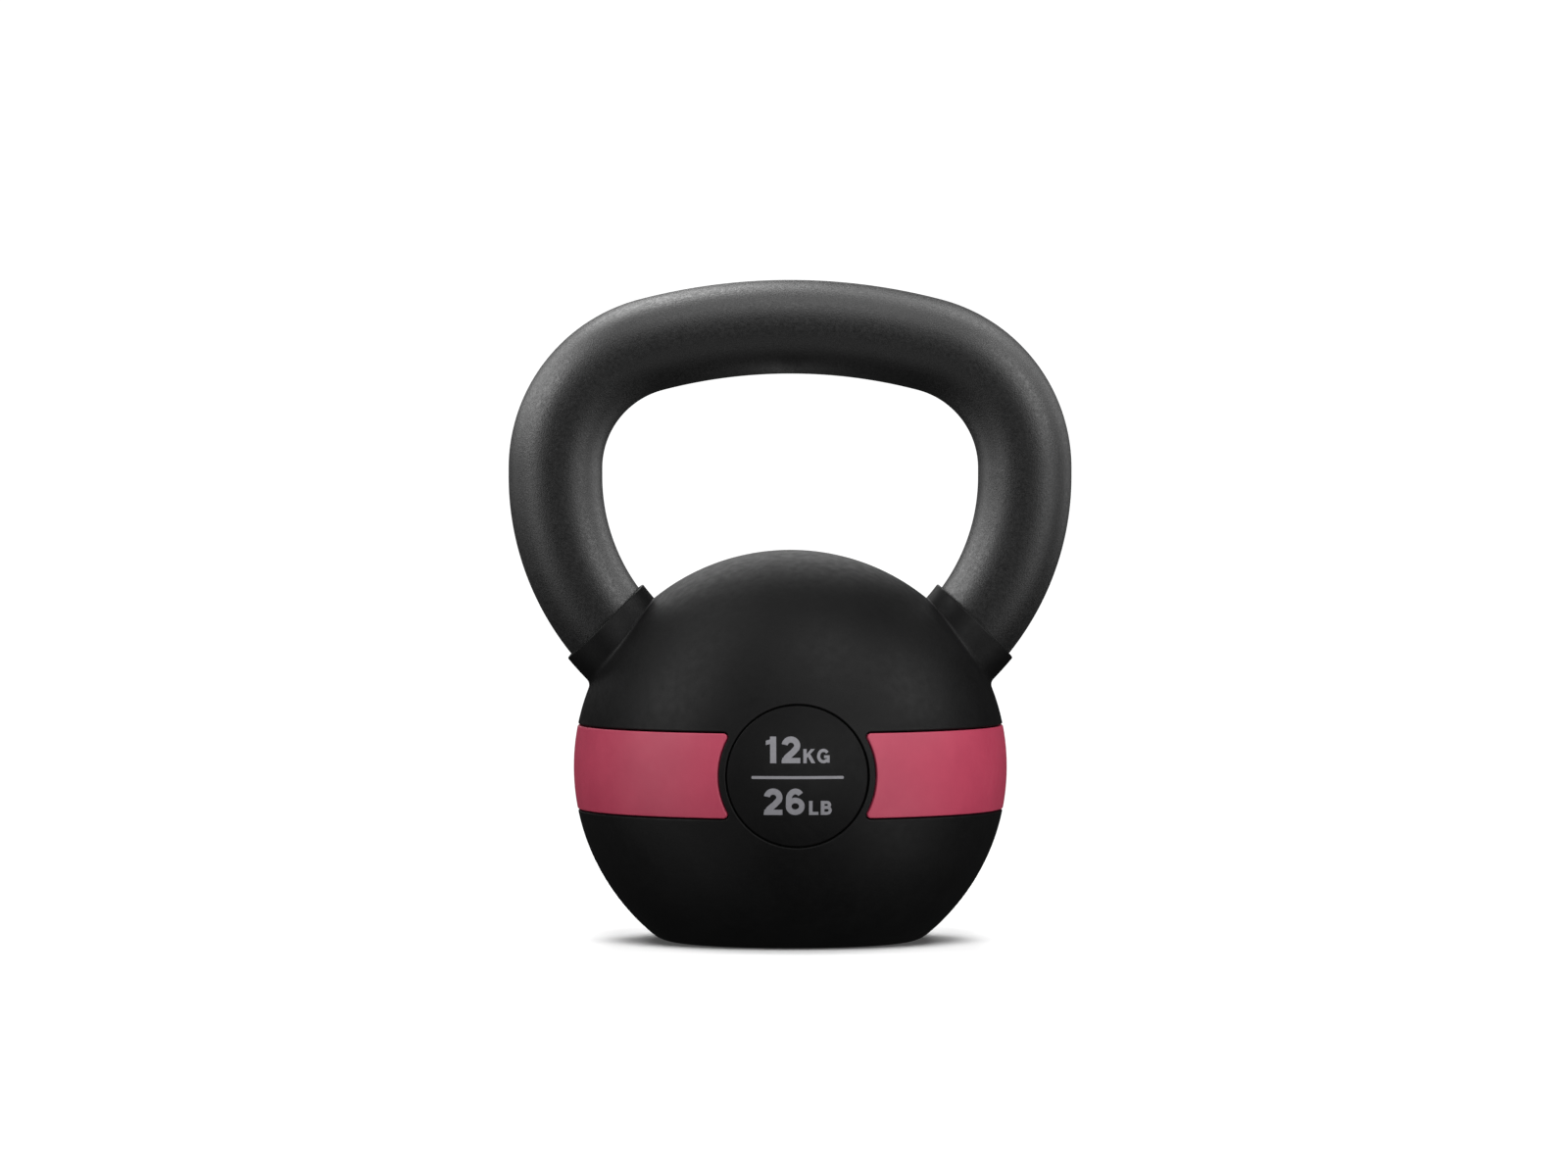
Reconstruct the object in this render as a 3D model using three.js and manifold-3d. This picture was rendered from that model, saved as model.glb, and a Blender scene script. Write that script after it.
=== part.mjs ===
// A 12 kg kettlebell: a cast-iron core with a bent steel handle cast into it, held by a cross pin in
// each leg, and a moulded rubber cover over the core. The cover has a collar round each handle leg, a
// channel for a coloured band in two halves, and a round recess front and back for a flush badge.
//
// Millimetres, +Z up. The origin is the centre of the flat base, +X runs along the handle and the
// weight badge faces -Y.
import * as THREE from "three";
import { mergeVertices } from "three/addons/utils/BufferGeometryUtils.js";
import Module from "manifold-3d";

// Driving dimensions
const BALL_RADIUS = 77;
const BALL_CENTRE_Z = 62;
const BASE_EDGE_RADIUS = 12; // rounding between the ball and its flat base
const COVER_WALL = 9.7; // rubber over the core, and under it at the base
const CORE_EDGE_RADIUS = 3;
const GAP = 0.3; // clearance between pieces that touch in the real object

const HANDLE_RADIUS = 16.65;
const GRIP_RADIUS = 196; // centreline radius of the arched grip
const CORNER_RADIUS = 45.3; // centreline radius of the two shoulders
const CORNER_CENTRE_Z = 168;
const LEG_RADIUS = 83.45; // centreline radius of both legs, about one point on the axis
const LEG_CENTRE_Z = 165;
const LEG_STRAIGHT_ANGLE = THREE.MathUtils.degToRad(43); // below horizontal, where a leg turns straight
const LEG_BURIED_LENGTH = 45; // straight end of a leg, most of it inside the core

const COLLAR_WALL = 1.95; // rubber round a leg where it leaves the ball
const COLLAR_RIM_ANGLE = THREE.MathUtils.degToRad(37.9); // below horizontal, where a leg leaves its collar
const COLLAR_TILT = THREE.MathUtils.degToRad(44.4); // the collar's rim faces this far from straight up
const COLLAR_DEPTH = 22; // how far the collar runs below its rim, into the ball

const PIN_RADIUS = 4;
const PIN_LENGTH = 56;
const PIN_CHAMFER = 0.8;
const PIN_FROM_LEG_END = 12;

const BAND_HALF_HEIGHT = 14.9;
const BAND_THICKNESS = 4;
const BAND_END_RADIUS = 27.8; // each band stops on this circle round a badge
const BADGE_RADIUS = 24.5;
const BADGE_THICKNESS = 3.5;
const SEAM = 0.5; // visible seam round the bands and badges
const CLEAR_OF_BALL = 3; // how far a cutter stands out of the ball
const MERGE_TOLERANCE = 1e-4;

// Mesh resolution
const BALL_SEGMENTS = 48;
const BALL_STEPS = 20;
const CORE_SEGMENTS = 36;
const CORE_STEPS = 14;
const EDGE_STEPS = 3;
const HANDLE_STEPS = 54;
const HANDLE_CURVE_SEGMENTS = 10; // the bar gets twice as many sides
const BAND_SEGMENTS = 60;
const ROUND_SEGMENTS = 36;
const PIN_SEGMENTS = 20;
const ARC_STEPS = 4;

const wasm = await Module();
wasm.setup();

// A closed three.js geometry as a manifold-3d solid.
function solidOf(geometry) {
  const bare = geometry.clone();
  bare.deleteAttribute("normal");
  bare.deleteAttribute("uv");
  const merged = mergeVertices(bare, MERGE_TOLERANCE);
  return new wasm.Manifold(
    new wasm.Mesh({
      numProp: 3,
      vertProperties: merged.attributes.position.array,
      triVerts: new Uint32Array(merged.index.array),
    }),
  );
}

// A manifold-3d solid as a three.js geometry.
function geometryOf(solid) {
  const { vertProperties, triVerts } = solid.getMesh();
  const geometry = new THREE.BufferGeometry();
  geometry.setAttribute("position", new THREE.BufferAttribute(vertProperties, 3));
  geometry.setIndex(new THREE.BufferAttribute(triVerts, 1));
  geometry.computeVertexNormals();
  return geometry;
}

// Points of a circular arc in a lathe's profile plane, both ends included.
function arc(x, y, radius, from, to, steps) {
  const curve = new THREE.EllipseCurve(x, y, radius, radius, from, to, to < from);
  return curve.getPoints(steps);
}

// A profile turned about the vertical axis.
function turned(profile, segments) {
  return new THREE.LatheGeometry(profile, segments).rotateX(Math.PI / 2);
}

// Profile of a ball about BALL_CENTRE_Z that is cut flat at floorZ, with a rounded edge there.
function ballProfile(radius, floorZ, edgeRadius, steps) {
  const drop = BALL_CENTRE_Z - floorZ - edgeRadius;
  const edgeX = Math.sqrt((radius - edgeRadius) ** 2 - drop ** 2);
  const edgeEnd = Math.atan2(-drop, edgeX);
  const edge = arc(edgeX, floorZ + edgeRadius, edgeRadius, -Math.PI / 2, edgeEnd, EDGE_STEPS);
  const dome = arc(0, BALL_CENTRE_Z, radius, edgeEnd, Math.PI / 2, steps);
  dome[dome.length - 1].x = 0;
  return [new THREE.Vector2(0, floorZ), ...edge, ...dome.slice(1)];
}

// The handle's centreline in the plane y = 0, as a curve in space.
class HandleLine extends THREE.Curve {
  // extra lengthens both buried ends.
  constructor(extra = 0) {
    super();
    const cornerX = LEG_RADIUS - CORNER_RADIUS;
    const lean = Math.asin(cornerX / (GRIP_RADIUS - CORNER_RADIUS));
    const gripCentreZ = CORNER_CENTRE_Z - cornerX / Math.tan(lean);
    const end = legPoint(LEG_BURIED_LENGTH + extra);
    const entry = legPoint(0);
    this.path = new THREE.Path()
      .moveTo(-end.x, end.z)
      .lineTo(-entry.x, entry.z)
      .absarc(0, LEG_CENTRE_Z, LEG_RADIUS, Math.PI + LEG_STRAIGHT_ANGLE, Math.PI, true)
      .absarc(-cornerX, CORNER_CENTRE_Z, CORNER_RADIUS, Math.PI, Math.PI / 2 + lean, true)
      .absarc(0, gripCentreZ, GRIP_RADIUS, Math.PI / 2 + lean, Math.PI / 2 - lean, true)
      .absarc(cornerX, CORNER_CENTRE_Z, CORNER_RADIUS, Math.PI / 2 - lean, 0, true)
      .absarc(0, LEG_CENTRE_Z, LEG_RADIUS, 0, -LEG_STRAIGHT_ANGLE, true)
      .lineTo(end.x, end.z);
  }

  getPoint(t, target = new THREE.Vector3()) {
    const point = this.path.getPoint(t);
    return target.set(point.x, 0, point.y);
  }
}

// A point on the straight end of the right leg, this far in from where it turns straight.
function legPoint(distance) {
  return new THREE.Vector3(
    LEG_RADIUS * Math.cos(LEG_STRAIGHT_ANGLE) - distance * Math.sin(LEG_STRAIGHT_ANGLE),
    0,
    LEG_CENTRE_Z - LEG_RADIUS * Math.sin(LEG_STRAIGHT_ANGLE) - distance * Math.cos(LEG_STRAIGHT_ANGLE),
  );
}

// The handle's bar, made thicker and longer by grow, so that it also cuts its own seat.
function handleBar(grow = 0) {
  const section = new THREE.Shape().absarc(0, 0, HANDLE_RADIUS + grow, 0, 2 * Math.PI);
  const bar = new THREE.ExtrudeGeometry(section, {
    steps: HANDLE_STEPS,
    curveSegments: HANDLE_CURVE_SEGMENTS,
    extrudePath: new HandleLine(grow),
  });
  return solidOf(bar);
}

// A cross pin, or the hole it sits in when grown, through the leg on one side (-1 or 1).
function anchorPin(side, grow = 0) {
  const radius = PIN_RADIUS + grow;
  const half = PIN_LENGTH / 2 + grow;
  const profile = [
    new THREE.Vector2(0, -half),
    new THREE.Vector2(radius - PIN_CHAMFER, -half),
    new THREE.Vector2(radius, PIN_CHAMFER - half),
    new THREE.Vector2(radius, half - PIN_CHAMFER),
    new THREE.Vector2(radius - PIN_CHAMFER, half),
    new THREE.Vector2(0, half),
  ];
  const at = legPoint(LEG_BURIED_LENGTH - PIN_FROM_LEG_END);
  return solidOf(new THREE.LatheGeometry(profile, PIN_SEGMENTS).translate(side * at.x, 0, at.z));
}

function core(grow = 0) {
  const radius = BALL_RADIUS - COVER_WALL + grow;
  const profile = ballProfile(radius, COVER_WALL - grow, CORE_EDGE_RADIUS, CORE_STEPS);
  return solidOf(turned(profile, CORE_SEGMENTS));
}

// The block that holds one collar: its top face is the collar's rim.
function collarBlock(side) {
  const width = 3 * (HANDLE_RADIUS + COLLAR_WALL);
  const rimX = LEG_RADIUS * Math.cos(COLLAR_RIM_ANGLE);
  const rimZ = LEG_CENTRE_Z - LEG_RADIUS * Math.sin(COLLAR_RIM_ANGLE);
  const block = new THREE.BoxGeometry(width, width, COLLAR_DEPTH)
    .translate(0, 0, -COLLAR_DEPTH / 2)
    .rotateY(side * COLLAR_TILT)
    .translate(side * rimX, 0, rimZ);
  return solidOf(block);
}

// Both collars, solid: they follow the bend of the legs. The handle's seat is cut through them later.
function collars() {
  return handleBar(COLLAR_WALL).intersect(collarBlock(-1).add(collarBlock(1)));
}

// A ring round the ball's equator, between two radii, cut off flat above and below.
function ring(innerRadius, outerRadius, halfHeight) {
  const outerAngle = Math.asin(halfHeight / outerRadius);
  const innerAngle = Math.asin(halfHeight / innerRadius);
  const profile = [
    ...arc(0, BALL_CENTRE_Z, outerRadius, -outerAngle, outerAngle, ARC_STEPS),
    ...arc(0, BALL_CENTRE_Z, innerRadius, innerAngle, -innerAngle, ARC_STEPS),
  ];
  profile.push(profile[0].clone());
  return solidOf(turned(profile, BAND_SEGMENTS));
}

// A cylinder through the ball from front to back, round both badges.
function badgeColumn(radius) {
  const length = 2 * (BALL_RADIUS + 2 * CLEAR_OF_BALL);
  const column = new THREE.CylinderGeometry(radius, radius, length, ROUND_SEGMENTS);
  return solidOf(column.translate(0, 0, BALL_CENTRE_Z));
}

// Everything on one side of the plane x = 0.
function halfSpace(side) {
  const size = 4 * BALL_RADIUS;
  const box = new THREE.BoxGeometry(size, size, size);
  return solidOf(box.translate((side * size) / 2, 0, BALL_CENTRE_Z));
}

// A domed disc on the ball's front (-1) or rear (1), between two radii of the ball.
function disc(side, radius, innerRadius, outerRadius) {
  const innerAngle = Math.acos(radius / innerRadius);
  const outerAngle = Math.acos(radius / outerRadius);
  const outer = arc(0, 0, outerRadius, outerAngle, Math.PI / 2, ARC_STEPS);
  const inner = arc(0, 0, innerRadius, Math.PI / 2, innerAngle, ARC_STEPS);
  outer[outer.length - 1].x = 0;
  inner[0].x = 0;
  const profile = [...inner, ...outer];
  const shape = new THREE.LatheGeometry(profile, ROUND_SEGMENTS)
    .rotateX(side < 0 ? Math.PI : 0)
    .translate(0, 0, BALL_CENTRE_Z);
  return solidOf(shape);
}

function cover() {
  const ball = solidOf(turned(ballProfile(BALL_RADIUS, 0, BASE_EDGE_RADIUS, BALL_STEPS), BALL_SEGMENTS));
  const outOfBall = BALL_RADIUS + CLEAR_OF_BALL;
  const channel = ring(BALL_RADIUS - BAND_THICKNESS - GAP, outOfBall, BAND_HALF_HEIGHT + SEAM);
  const recess = (side) => disc(side, BADGE_RADIUS + SEAM, BALL_RADIUS - BADGE_THICKNESS - GAP, outOfBall);
  return ball
    .add(collars())
    .subtract(core(GAP))
    .subtract(handleBar(GAP))
    .subtract(channel.subtract(badgeColumn(BAND_END_RADIUS - SEAM)))
    .subtract(recess(-1))
    .subtract(recess(1));
}

function band(side) {
  return ring(BALL_RADIUS - BAND_THICKNESS, BALL_RADIUS, BAND_HALF_HEIGHT)
    .subtract(badgeColumn(BAND_END_RADIUS))
    .intersect(halfSpace(side));
}

function badge(side) {
  return disc(side, BADGE_RADIUS, BALL_RADIUS - BADGE_THICKNESS, BALL_RADIUS);
}

const castIron = new THREE.MeshStandardMaterial({ color: 0x4a4a4c, roughness: 0.75, metalness: 0.8 });
const pinSteel = new THREE.MeshStandardMaterial({ color: 0x9a9a9e, roughness: 0.35, metalness: 1 });
const powderCoat = new THREE.MeshStandardMaterial({ color: 0x2b2b2c, roughness: 0.6, metalness: 0 });
const blackRubber = new THREE.MeshStandardMaterial({ color: 0x151516, roughness: 0.62, metalness: 0 });
const badgeRubber = new THREE.MeshStandardMaterial({ color: 0x121213, roughness: 0.58, metalness: 0 });
const bandRubber = new THREE.MeshStandardMaterial({ color: 0xb0485f, roughness: 0.6, metalness: 0 });

const kettlebell = new THREE.Group();

function addPiece(name, solid, material) {
  const mesh = new THREE.Mesh(geometryOf(solid), material);
  mesh.name = name;
  kettlebell.add(mesh);
}

const pinHoles = anchorPin(-1, GAP).add(anchorPin(1, GAP));

addPiece("core", core().subtract(handleBar(GAP)).subtract(pinHoles), castIron);
addPiece("handle", handleBar().subtract(pinHoles), powderCoat);
addPiece("left_anchor_pin", anchorPin(-1), pinSteel);
addPiece("right_anchor_pin", anchorPin(1), pinSteel);
addPiece("cover", cover(), blackRubber);
addPiece("left_band", band(-1), bandRubber);
addPiece("right_band", band(1), bandRubber);
addPiece("front_badge", badge(-1), badgeRubber);
addPiece("rear_badge", badge(1), badgeRubber);

export default kettlebell;
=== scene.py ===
"""A 12 kg kettlebell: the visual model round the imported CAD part, with its stage, lights and camera.

Metres, in the part's own frame: +Z up, the origin at the centre of the flat base, +X along the handle,
and the weight badge facing -Y. The ball's surfaces are built about its centre and moved up at the end.
"""

import math

import bmesh
import bpy
import numpy as np
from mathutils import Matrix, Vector
from mathutils.geometry import delaunay_2d_cdt


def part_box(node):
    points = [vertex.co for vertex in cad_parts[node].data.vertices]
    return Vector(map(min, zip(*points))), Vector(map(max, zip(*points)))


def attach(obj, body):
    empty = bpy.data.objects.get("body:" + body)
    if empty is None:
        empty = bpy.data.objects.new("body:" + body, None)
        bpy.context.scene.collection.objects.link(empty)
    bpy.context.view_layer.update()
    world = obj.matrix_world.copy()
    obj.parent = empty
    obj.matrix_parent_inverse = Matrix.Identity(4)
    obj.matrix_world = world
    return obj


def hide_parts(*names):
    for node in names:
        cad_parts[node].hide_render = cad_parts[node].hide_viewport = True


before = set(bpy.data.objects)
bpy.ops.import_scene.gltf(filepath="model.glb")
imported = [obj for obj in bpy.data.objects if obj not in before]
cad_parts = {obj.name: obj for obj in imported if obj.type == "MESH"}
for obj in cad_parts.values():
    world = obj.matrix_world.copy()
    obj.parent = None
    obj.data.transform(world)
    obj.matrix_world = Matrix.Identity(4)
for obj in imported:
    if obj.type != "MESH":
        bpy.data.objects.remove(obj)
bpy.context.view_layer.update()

MM = 0.001

# Read from the CAD part
BALL_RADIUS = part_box("right_band")[1].x
CENTRE_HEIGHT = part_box("cover")[1].z - BALL_RADIUS
CORE_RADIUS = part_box("core")[1].x
CORE_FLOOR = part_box("core")[0].z
HANDLE_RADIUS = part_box("handle")[1].y
LEG_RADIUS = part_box("handle")[1].x - HANDLE_RADIUS
PIN_LOW, PIN_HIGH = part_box("right_anchor_pin")

# Sizes that the CAD part has too
GAP = 0.3 * MM
BASE_EDGE = 12 * MM
CORE_EDGE = 3 * MM
GRIP_RADIUS = 196 * MM
CORNER_RADIUS = 45.3 * MM
CORNER_CENTRE_Z = 168 * MM
LEG_CENTRE_Z = 165 * MM
LEG_STRAIGHT_ANGLE = math.radians(43)
LEG_BURIED_LENGTH = 45 * MM
COLLAR_RADIUS = HANDLE_RADIUS + 1.95 * MM
COLLAR_RIM_ANGLE = math.radians(37.9)
COLLAR_TILT = math.radians(44.4)
BAND_HALF_HEIGHT = 14.9 * MM
BAND_THICKNESS = 4 * MM
BAND_END_RADIUS = 27.8 * MM
BADGE_RADIUS = 24.5 * MM
BADGE_THICKNESS = 3.5 * MM
SEAM = 0.5 * MM

# Finer shape, made only here
BAND_CORNER = 1.3 * MM
BAND_EDGE = 0.6 * MM
COVER_EDGE = 0.4 * MM
BADGE_EDGE = 0.3 * MM
GROOVE_EASE = 0.1 * MM  # the groove round a badge is this much wider than the seam, on each side
RIM_OUTER_EDGE = 0.6 * MM
RIM_INNER_EDGE = 0.35 * MM
COLLAR_FILLET = 1.8 * MM
COLLAR_FILLET_SWING = 1 * MM  # wider on the outside of the leg, tighter on the inside
PIN_CHAMFER = 0.8 * MM
PRINT_HEIGHT = 0.06 * MM
PRINT_SINK = 0.12 * MM

# Mesh resolution
SKIN_SPACING = 2.4 * MM
HIDDEN_SPACING = 5 * MM
EDGE_STEPS = 5
RIM_STEPS = 4
FILLET_STEPS = 8
COLLAR_SIDE_STEPS = 6
BORE_STEPS = 12
LEG_STEPS = 60  # round half of a leg
BASE_STEPS = 48  # round a quarter of the base
BASE_RINGS = 12
CORE_RINGS = 48
BAND_SIDE_STEPS = 60
BAND_CORNER_STEPS = 7
BAND_END_STEPS = 14  # from a corner to the middle of the end
BADGE_STEPS = 64  # round half of a badge
BADGE_FACE_RINGS = 12
BADGE_BACK_RINGS = 6
RECESS_RINGS = 5
HANDLE_SIDES = 112
HANDLE_SPACING = 1.5 * MM
TURNED_SEGMENTS = 128
CURVE_STEPS = 24
PRINT_SPACING = 0.5 * MM
EDGE_CLEARANCE = 0.6  # between a patch's inner points and its edge, as a share of the spacing
MERGE = 2e-6
TRIANGULATION_TOLERANCE = 1e-7


# ---------------------------------------------------------------- meshes


class Skin:
    """Points and faces, gathered patch by patch. Patches meet where their points coincide."""

    def __init__(self):
        self.points = []
        self.faces = []

    def add(self, points, faces):
        start = len(self.points)
        self.points += [Vector(p) for p in points]
        self.faces += [[start + i for i in face] for face in faces]

    def loft(self, rows, closed=False):
        """Quads between neighbouring rows, which all have the same number of points."""
        width = len(rows[0])
        spans = width if closed else width - 1
        faces = []
        for r in range(len(rows) - 1):
            for i in range(spans):
                j = (i + 1) % width
                faces.append([r * width + i, r * width + j, (r + 1) * width + j, (r + 1) * width + i])
        self.add([p for row in rows for p in row], faces)

    def fan(self, centre, row, closed=False):
        """Triangles from a point to each span of a row."""
        width = len(row)
        spans = width if closed else width - 1
        self.add([centre] + list(row), [[0, i + 1, (i + 1) % width + 1] for i in range(spans)])


def make_object(name, skin, mirrors=((1, 1),), lift=0.0, sharp_degrees=50):
    """One closed mesh from a skin and its mirror images, given as (x sign, y sign), moved up by lift."""
    bm = bmesh.new()
    for sx, sy in mirrors:
        verts = [bm.verts.new((sx * p.x, sy * p.y, p.z + lift)) for p in skin.points]
        for face in skin.faces:
            bm.faces.new([verts[i] for i in face])
    bmesh.ops.remove_doubles(bm, verts=bm.verts, dist=MERGE)
    loose = [v for v in bm.verts if not v.link_faces]
    bmesh.ops.delete(bm, geom=loose, context="VERTS")
    bmesh.ops.recalc_face_normals(bm, faces=bm.faces)
    mesh = bpy.data.meshes.new(name)
    bm.to_mesh(mesh)
    bm.free()
    return smooth_object(name, mesh, sharp_degrees)


def smooth_object(name, mesh, sharp_degrees):
    """An object that shades smoothly except over edges sharper than sharp_degrees."""
    mesh.polygons.foreach_set("use_smooth", [True] * len(mesh.polygons))
    mesh.set_sharp_from_angle(angle=math.radians(sharp_degrees))
    made = bpy.data.objects.new(name, mesh)
    bpy.context.scene.collection.objects.link(made)
    weighted = made.modifiers.new("weighted_normals", "WEIGHTED_NORMAL")
    weighted.keep_sharp = True
    return made


def cut(made, cutters):
    """Takes the cutters out of an object and removes them."""
    for cutter in cutters:
        boolean = made.modifiers.new("cut", "BOOLEAN")
        boolean.operation = "DIFFERENCE"
        boolean.solver = "EXACT"
        boolean.object = cutter
        made.modifiers.move(len(made.modifiers) - 1, 0)
    bpy.context.view_layer.update()
    shaped = bpy.data.meshes.new_from_object(made.evaluated_get(bpy.context.evaluated_depsgraph_get()))
    for modifier in [m for m in made.modifiers if m.type == "BOOLEAN"]:
        made.modifiers.remove(modifier)
    made.data = shaped
    for cutter in cutters:
        bpy.data.objects.remove(cutter)
    return made


def steps(start, end, count):
    """count + 1 values from start to end."""
    return [start + (end - start) * i / count for i in range(count + 1)]


def flattened(p):
    """A point of the front half of a sphere about the origin, projected from its rear pole."""
    d = Vector(p).normalized()
    return Vector((d.x / (1 - d.y), d.z / (1 - d.y)))


def quarter_points(spacing):
    """Evenly spaced points on the ball's quarter with x > 0 and y < 0."""
    points = []
    for k in range(1, int(math.pi / 2 * BALL_RADIUS / spacing)):
        turn = k * spacing / BALL_RADIUS
        around = max(1, round(math.pi * math.sin(turn) * BALL_RADIUS / spacing))
        for j in range(around):
            t = math.pi * ((j + 0.5) / around - 0.5)
            points.append(
                (math.sin(turn) * math.cos(t), -math.cos(turn), math.sin(turn) * math.sin(t))
            )
    return np.array(points) * BALL_RADIUS


def inside(outline, points):
    """Which of the 2-D points are inside a closed outline."""
    result = np.zeros(len(points), bool)
    for a, b in zip(outline, np.roll(outline, -1, axis=0)):
        crosses = (a[1] > points[:, 1]) != (b[1] > points[:, 1])
        height = np.where(crosses, b[1] - a[1], 1)
        x = a[0] + (points[:, 1] - a[1]) * (b[0] - a[0]) / height
        result ^= crosses & (points[:, 0] < x)
    return result


def fill(boundary, spacing):
    """Points and triangles that cover the ball's surface inside a closed boundary on it."""
    boundary = [Vector(p) for p in boundary]
    outline = np.array([flattened(p) for p in boundary])
    candidates = quarter_points(spacing)
    flat = np.array([flattened(p) for p in candidates])
    keep = inside(outline, flat)
    candidates, flat = candidates[keep], flat[keep]
    edge = np.array(boundary)
    clearance = np.array([np.min(np.linalg.norm(edge - p, axis=1)) for p in candidates])
    clear = clearance > EDGE_CLEARANCE * spacing
    given = boundary + [Vector(p) for p in candidates[clear]]
    coords = [Vector(p) for p in outline] + [Vector(p) for p in flat[clear]]
    face = list(range(len(boundary)))
    result = delaunay_2d_cdt(coords, [], [face], 1, TRIANGULATION_TOLERANCE)
    _, _, faces, origins, _, _ = result
    return [given[o[0]] for o in origins], faces


# ---------------------------------------------------------------- outlines on the ball


def on_ball(x, z):
    """The point on the ball's front with this x and z."""
    return Vector((x, -math.sqrt(BALL_RADIUS**2 - x * x - z * z), z))


def at_depth(points, depth):
    """The same points, this far under the ball's surface."""
    return [p * ((BALL_RADIUS - depth) / BALL_RADIUS) for p in points]


def side_meridian(low, high, spacing=SKIN_SPACING):
    """The ball's surface at y = 0, between two elevations."""
    count = max(1, math.ceil(abs(high - low) * BALL_RADIUS / spacing))
    angles = steps(low, high, count)
    return [Vector((BALL_RADIUS * math.cos(a), 0, BALL_RADIUS * math.sin(a))) for a in angles]


def front_meridian(low, high, spacing=SKIN_SPACING):
    """The ball's surface at x = 0, between two elevations."""
    return [Vector((0, -p.x, p.z)) for p in side_meridian(low, high, spacing)]


def latitude(elevation):
    """A quarter of a level circle on the ball, from the side to the front."""
    reach = BALL_RADIUS * math.cos(elevation)
    z = BALL_RADIUS * math.sin(elevation)
    azimuths = steps(0, math.pi / 2, BASE_STEPS)
    return [Vector((reach * math.cos(a), -reach * math.sin(a), z)) for a in azimuths]


def band_outline(grow):
    """Half of one band's edge, from the top at y = 0 round the badge end to the bottom.

    It is grown outward by grow, or shrunk where that is negative.
    """
    half_height = BAND_HALF_HEIGHT + grow
    end_radius = BAND_END_RADIUS - grow
    corner = BAND_CORNER + grow
    corner_z = half_height - corner
    corner_x = math.sqrt((end_radius + corner) ** 2 - corner_z**2)
    corner_angle = math.atan2(corner_z, corner_x)
    level = math.sqrt(BALL_RADIUS**2 - half_height**2)
    turn = math.acos(corner_x / level)
    azimuths = steps(0, turn, BAND_SIDE_STEPS)
    top = [Vector((level * math.cos(a), -level * math.sin(a), half_height)) for a in azimuths]
    bend = [
        on_ball(corner_x + corner * math.cos(a), corner_z + corner * math.sin(a))
        for a in steps(math.pi / 2, math.pi + corner_angle, BAND_CORNER_STEPS)
    ]
    end = [
        on_ball(end_radius * math.cos(a), end_radius * math.sin(a))
        for a in steps(corner_angle, 0, BAND_END_STEPS)
    ]
    upper = top[:-1] + bend[:-1] + end
    lower = [Vector((p.x, p.y, -p.z)) for p in reversed(upper[:-1])]
    return upper + lower


def badge_circle(radius):
    """The front half-circle round the badge, from below to above, on the ball."""
    angles = steps(-math.pi / 2, math.pi / 2, BADGE_STEPS)
    return [on_ball(radius * math.cos(a), radius * math.sin(a)) for a in angles]


def rounded(radius):
    """(distance back from a wall, depth) along a rounded edge, from the surface into the wall."""
    angles = steps(0, math.pi / 2, EDGE_STEPS)
    return [(radius * (1 - math.sin(a)), radius * (1 - math.cos(a))) for a in angles]


def band_closed(outline, spacing):
    """A band outline and the stretch at y = 0 that closes it."""
    limit = math.asin(outline[0].z / BALL_RADIUS)
    return outline + side_meridian(-limit, limit, spacing)[1:-1]


# ---------------------------------------------------------------- the handle's legs

# The right leg's straight end, about the ball's centre: its direction, and its way out from the centre
LEG_UP = Vector((math.sin(LEG_STRAIGHT_ANGLE), 0, math.cos(LEG_STRAIGHT_ANGLE)))
LEG_OUT = Vector((math.cos(LEG_STRAIGHT_ANGLE), 0, -math.sin(LEG_STRAIGHT_ANGLE)))
FRONT = Vector((0, -1, 0))
LEG_CENTRE = Vector((0, 0, LEG_CENTRE_Z - CENTRE_HEIGHT))
LEG_ENTRY = LEG_CENTRE + LEG_RADIUS * LEG_OUT
LEG_OFFSET = LEG_ENTRY.dot(LEG_OUT)
STRAIGHT_END = LEG_ENTRY.dot(LEG_UP)


def leg_point(reach, turn, along, bend=1.0):
    """A point round the right leg: reach from its centreline, turn from the outside to the front.

    along is measured from the point nearest the ball's centre, and bend is the share of the leg's curve
    that the point follows.
    """
    out, front = reach * math.cos(turn), reach * math.sin(turn)
    straight = (LEG_OFFSET + out) * LEG_OUT + front * FRONT + along * LEG_UP
    if along <= STRAIGHT_END:
        return straight
    angle = LEG_STRAIGHT_ANGLE - (along - STRAIGHT_END) / LEG_RADIUS
    radial = Vector((math.cos(angle), 0, -math.sin(angle)))
    bent = LEG_CENTRE + (LEG_RADIUS + out) * radial + front * FRONT
    return straight.lerp(bent, bend)


def rim_along(reach, turn, below=0.0):
    """How far along the leg the collar's rim is, or a point this far below it."""
    reach_out = LEG_RADIUS + reach * math.cos(turn)
    lift = LEG_RADIUS * math.sin(COLLAR_TILT - COLLAR_RIM_ANGLE)
    angle = COLLAR_TILT - math.asin(lift / reach_out)
    return STRAIGHT_END + LEG_RADIUS * (LEG_STRAIGHT_ANGLE - angle) - below * LEG_RADIUS / reach_out


def turns():
    """Angles round the front half of a leg, from its outside to its inside."""
    return steps(0, math.pi, LEG_STEPS)


def sphere_along(radius, reach, turn):
    """How far along the leg's straight end a line at reach and turn meets a sphere about the centre."""
    out = LEG_OFFSET + reach * math.cos(turn)
    return math.sqrt(radius**2 - out**2 - (reach * math.sin(turn)) ** 2)


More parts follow.
